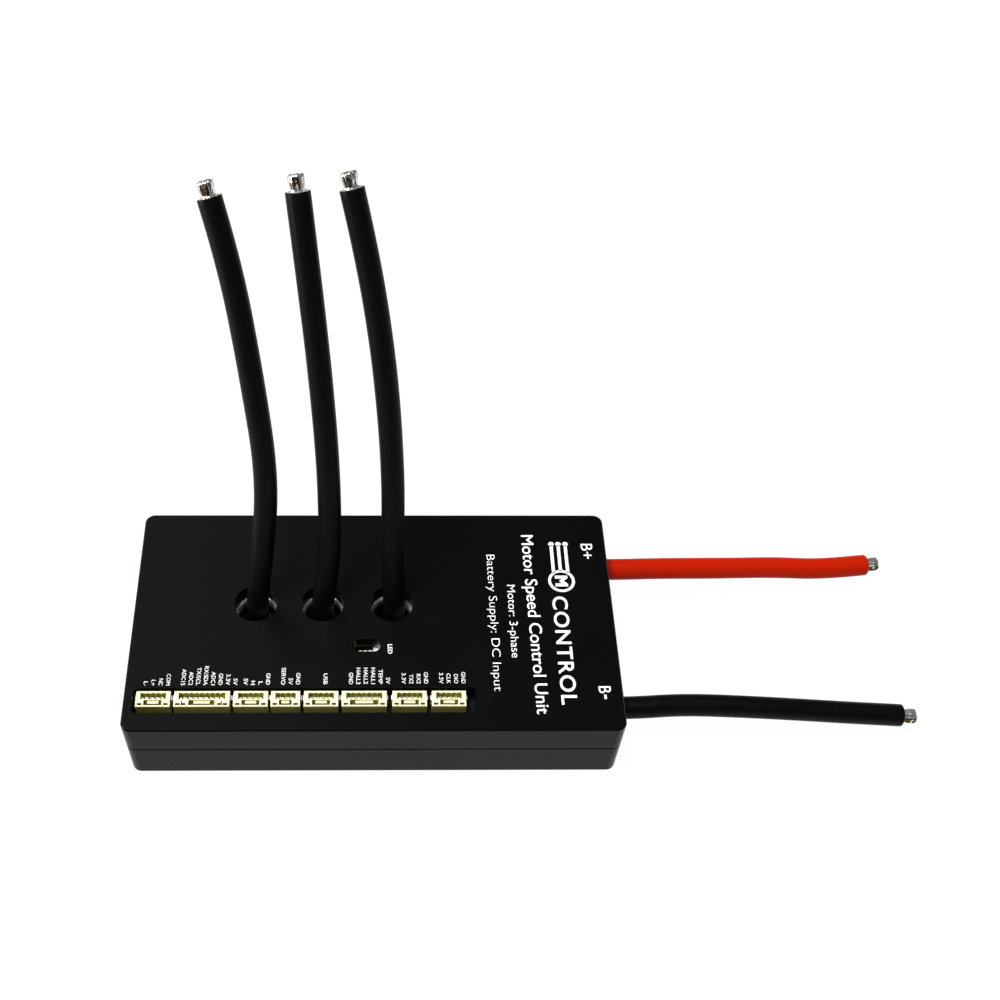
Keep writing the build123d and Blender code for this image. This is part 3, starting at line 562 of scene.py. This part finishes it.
def make_strands(name, line, reach, tip_length, material):
    """The bundle of strands: a plain rod in the sleeve and a soldered, creased tip."""
    seed = Vector((random.uniform(0, 9), random.uniform(0, 9), 0))
    phase = random.uniform(0, tau)
    first = line[0] - (line[1] - line[0]).normalized() * reach * MM
    way = (line[-1] - line[-2]).normalized()
    tip = tip_length * MM
    core = [first, *line[:-1]]
    tip_line = [line[-1] + way * tip * (k / TIP_STEPS) for k in range(-2, TIP_STEPS + 1)]
    frames = frames_along(core + tip_line)
    angles = [tau * i / TIP_SIDES for i in range(TIP_SIDES)]
    vertices = []
    for point, _, side, up in frames[:len(core)]:
        for angle in angles:
            out = side * cos(angle) + up * sin(angle)
            vertices.append(point + out * STRAND_RADIUS * MM)
    for at in frames[len(core):]:
        share = max(0.0, (at[0] - line[-1]).dot(way) / tip)
        vertices += [tip_point(at, angle, share, tip, seed, phase) for angle in angles]
    # the end face closes in over the ends of the strands, in and out like them
    rim = vertices[-TIP_SIDES:]
    centre = frames[-1][0] - way * tip * 0.1
    for shrink in END_RINGS:
        for corner in rim:
            pits = noise.noise(seed + (corner - centre) * 900 * shrink)
            lift = 0.10 * (1 - shrink) ** 0.5 - 0.22 * abs(pits) * (1 - shrink)
            vertices.append(centre + (corner - centre) * shrink + way * tip * lift)
    rings = len(frames) + len(END_RINGS)
    faces = tube_rings(rings, TIP_SIDES)
    faces.append(tuple(range(TIP_SIDES)))
    faces.append(tuple(reversed(range((rings - 1) * TIP_SIDES, rings * TIP_SIDES))))
    return add_piece(f"{name}_strands", vertices, faces, [material])


def make_wire(name, route, reach, tip_length, slot):
    """One wire: its sleeve and its strands, in place of the CAD model's plainer ones."""
    line = smooth_route(route)
    sleeve = make_insulation(name, line, LOOKS[slot])
    strands = make_strands(name, line, reach, tip_length, LOOKS["tinned_strands"])
    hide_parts(f"{name}_insulation")
    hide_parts(f"{name}_conductor")


for wire, route in PHASE_ROUTES.items():
    make_wire(wire, route, CUP_REACH, PHASE_TIP_LENGTH, "silicone_black")
make_wire("battery_positive", BATTERY_ROUTES["battery_positive"], POST_REACH,
          BATTERY_TIP_LENGTH, "silicone_red")
make_wire("battery_negative", BATTERY_ROUTES["battery_negative"], POST_REACH,
          BATTERY_TIP_LENGTH, "silicone_black")


# ---------------------------------------------------------------- print on the cover
COVER_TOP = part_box("top_cover")[1].z / MM


def lettering(text, weight=0.0, spacing=1.0):
    """Points and faces of one line of text, one unit high per em, starting at the origin."""
    curve = bpy.data.curves.new("lettering", "FONT")
    curve.body = text
    curve.offset = weight
    curve.space_character = spacing
    curve.extrude = 0.01
    curve.resolution_u = 4
    mesh = evaluated_mesh(curve)
    points = [vertex.co.copy() for vertex in mesh.vertices]
    faces = [tuple(polygon.vertices) for polygon in mesh.polygons]
    bpy.data.meshes.remove(mesh)
    bpy.data.curves.remove(curve)
    return points, faces


CAPITAL = max(p.y for p in lettering("H")[0])


class Print:
    """Flat white shapes on the cover, gathered into one piece.

    Text reads towards -Y with its capitals' tops towards +X."""

    def __init__(self):
        self.vertices = []
        self.faces = []

    def add(self, points, faces):
        start = len(self.vertices)
        self.vertices += points
        self.faces += [tuple(start + i for i in face) for face in faces]

    def text(self, text, foot_x, start_y, capital, length, weight, tilt=0.0, spacing=1.0):
        """One line whose letters stand on foot_x, from start_y on for the given length."""
        points, faces = lettering(text, weight, spacing)
        left = min(p.x for p in points)
        up = capital / CAPITAL
        along = length / (max(p.x for p in points) - left)
        deep = max(p.z for p in points)
        placed = []
        for p in points:
            x = foot_x + p.y * up
            y = start_y - (p.x - left) * along
            x += (start_y - y) * tilt
            z = COVER_TOP + (p.z / deep + 1) / 2 * PRINT_THICKNESS
            placed.append(Vector((x, y, z)) * MM)
        self.add(placed, faces)

    def polygon(self, outline):
        """A flat shape, its outline given as x, y in millimetres."""
        n = len(outline)
        low = [Vector((x, y, COVER_TOP)) * MM for x, y in outline]
        high = [Vector((x, y, COVER_TOP + PRINT_THICKNESS)) * MM for x, y in outline]
        faces = [tuple(range(n, 2 * n)), tuple(reversed(range(n)))]
        faces += [(i, (i + 1) % n, n + (i + 1) % n, n + i) for i in range(n)]
        self.add(low + high, faces)

    def ring(self, centre, inner, outer, sides=64):
        for i in range(sides):
            a, b = tau * i / sides, tau * (i + 1) / sides
            corners = [(inner, a), (outer, a), (outer, b), (inner, b)]
            self.polygon([(centre[0] + r * cos(t), centre[1] + r * sin(t)) for r, t in corners])

    def piece(self, name):
        add_piece(name, self.vertices, self.faces, [WHITE_INK], smooth=False)


def print_pin_labels():
    labels = Print()
    for port, shift, texts in PIN_LABELS:
        low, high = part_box(f"{port}_port")
        centre = (low.x + high.x) / 2 / MM + shift
        for i, text in enumerate(texts):
            x = centre + (i - (len(texts) - 1) / 2) * PIN_LABEL_PITCH
            start_y = PIN_LABEL_END_Y + x * PRINT_SLANT + LABEL_LENGTHS[text]
            foot_x = x - PIN_LABEL_CAPITAL / 2
            labels.text(text, foot_x, start_y, PIN_LABEL_CAPITAL, LABEL_LENGTHS[text], 0.0)
    labels.text("LED", *LED_LABEL, LABEL_LENGTHS["LED"], 0.01)
    labels.piece("pin_labels")


def print_titles():
    titles = Print()
    for title in TITLES:
        titles.text(*title)
    (x0, y0), (x1, y1) = MINUS_SIGN
    titles.polygon([(x0, y0), (x1, y0), (x1, y1), (x0, y1)])
    titles.piece("titles")


def print_motor_symbol():
    """The usual circuit symbol: a motor with its three phase lines."""
    symbol = Print()
    x0, y0 = MOTOR_CENTRE
    symbol.ring(MOTOR_CENTRE, *MOTOR_RING)
    symbol.text("M", *MOTOR_LETTER, 0.05)
    middle = sum(MOTOR_RING) / 2
    half = PHASE_LINE_WIDTH / 2
    for offset in PHASE_LINE_OFFSETS:
        x = x0 + offset
        start = y0 + (middle ** 2 - offset ** 2) ** 0.5
        symbol.polygon([(x - half, start), (x + half, start), (x + half, PHASE_LINE_END),
                        (x - half, PHASE_LINE_END)])
        symbol.ring((x, PHASE_DOT_Y), 0.0, PHASE_DOT_RADIUS, 20)
    symbol.piece("motor_symbol")


print_pin_labels()
print_titles()
print_motor_symbol()


# ---------------------------------------------------------------- floor, light and camera
def make_floor():
    """A pale, softly glowing table that runs far out of view."""
    mesh = bpy.data.meshes.new("floor")
    corners = [(-1, -1, 0), (1, -1, 0), (1, 1, 0), (-1, 1, 0)]
    mesh.from_pydata([Vector(c) * FLOOR_REACH * MM for c in corners], [], [(0, 1, 2, 3)])
    s = Shading("floor_paint", (0.06, 0.06, 0.06), 0.8)
    s.vary_roughness(s.noise(40.0), 0.75, 0.85)
    s.shader.inputs["Specular IOR Level"].default_value = 0.0
    s.shader.inputs["Emission Color"].default_value = (1.0, 1.0, 1.0, 1.0)
    s.shader.inputs["Emission Strength"].default_value = FLOOR_GLOW
    mesh.materials.append(s.material)
    floor = bpy.data.objects.new("floor", mesh)
    floor.location.z = -FLOOR_GAP * MM
    bpy.context.scene.collection.objects.link(floor)


def add_light(name, place, size, power):
    """A square soft light, its place in metres, that faces the object."""
    data = bpy.data.lights.new(name, "AREA")
    data.shape = "SQUARE"
    data.size = size
    data.energy = power
    light = bpy.data.objects.new(name, data)
    light.location = place
    light.rotation_euler = (Vector((0, 0, 0)) - Vector(place)).to_track_quat("-Z", "Y").to_euler()
    bpy.context.scene.collection.objects.link(light)


def set_world():
    """An even, dim sky."""
    world = bpy.data.worlds.new("world")
    world.use_nodes = True
    background = world.node_tree.nodes["Background"]
    background.inputs["Color"].default_value = (1.0, 1.0, 1.0, 1.0)
    background.inputs["Strength"].default_value = SKY_GLOW
    bpy.context.scene.world = world


def set_camera():
    forward = Vector((sin(CAMERA_YAW) * cos(CAMERA_PITCH), cos(CAMERA_YAW) * cos(CAMERA_PITCH),
                      -sin(CAMERA_PITCH)))
    level = Vector((cos(CAMERA_YAW), -sin(CAMERA_YAW), 0))
    upright = level.cross(forward)
    right = level * cos(CAMERA_ROLL) + upright * sin(CAMERA_ROLL)
    up = upright * cos(CAMERA_ROLL) - level * sin(CAMERA_ROLL)
    data = bpy.data.cameras.new("camera")
    data.lens = CAMERA_LENS
    data.sensor_width = SENSOR_WIDTH
    data.shift_x, data.shift_y = CAMERA_SHIFT
    data.clip_start, data.clip_end = 0.01, 10.0
    camera = bpy.data.objects.new("camera", data)
    turn = Matrix((right, up, -forward)).transposed().to_4x4()
    place = (CAMERA_TARGET - forward * CAMERA_DISTANCE) * MM
    camera.matrix_world = Matrix.Translation(place) @ turn
    bpy.context.scene.collection.objects.link(camera)
    bpy.context.scene.camera = camera


make_floor()
set_world()
for light in LIGHTS:
    add_light(*light)
set_camera()
bpy.context.scene.view_settings.view_transform = "Standard"
